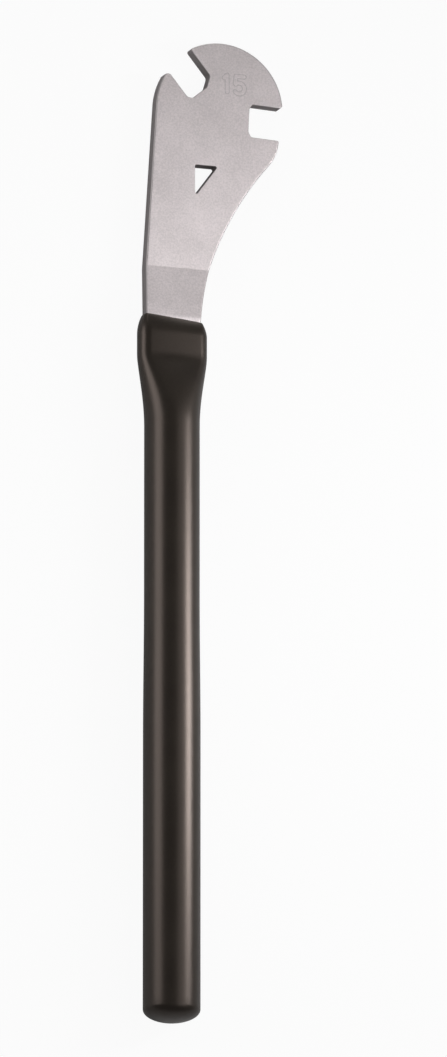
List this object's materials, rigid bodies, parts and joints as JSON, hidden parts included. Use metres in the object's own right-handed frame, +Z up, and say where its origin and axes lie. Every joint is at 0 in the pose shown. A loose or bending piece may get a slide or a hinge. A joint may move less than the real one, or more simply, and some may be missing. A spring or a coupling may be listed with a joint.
{
  "type": "pedal wrench",
  "caption": "Long pedal wrench: a flat cranked head with two open jaws and a triangular hanging hole, on a straight tube handle in a dipped black grip.",
  "frame": {"origin": "on the ground, under the middle of the wrench's bounding box as it lies", "axes": "+Y along the handle towards the head, +Z up, +X to the side that the side jaw opens to"},
  "size_m": [0.0687, 0.449, 0.0255],
  "materials": {
    "head_plate": "satin plated",
    "handle_tube": "bare",
    "grip_skin": "satin dipped vinyl"
  },
  "bodies": {
    "root": {"head_plate": "head_plate", "handle_tube": "handle_tube", "grip_skin": "grip_skin"}
  },
  "joints": []
}
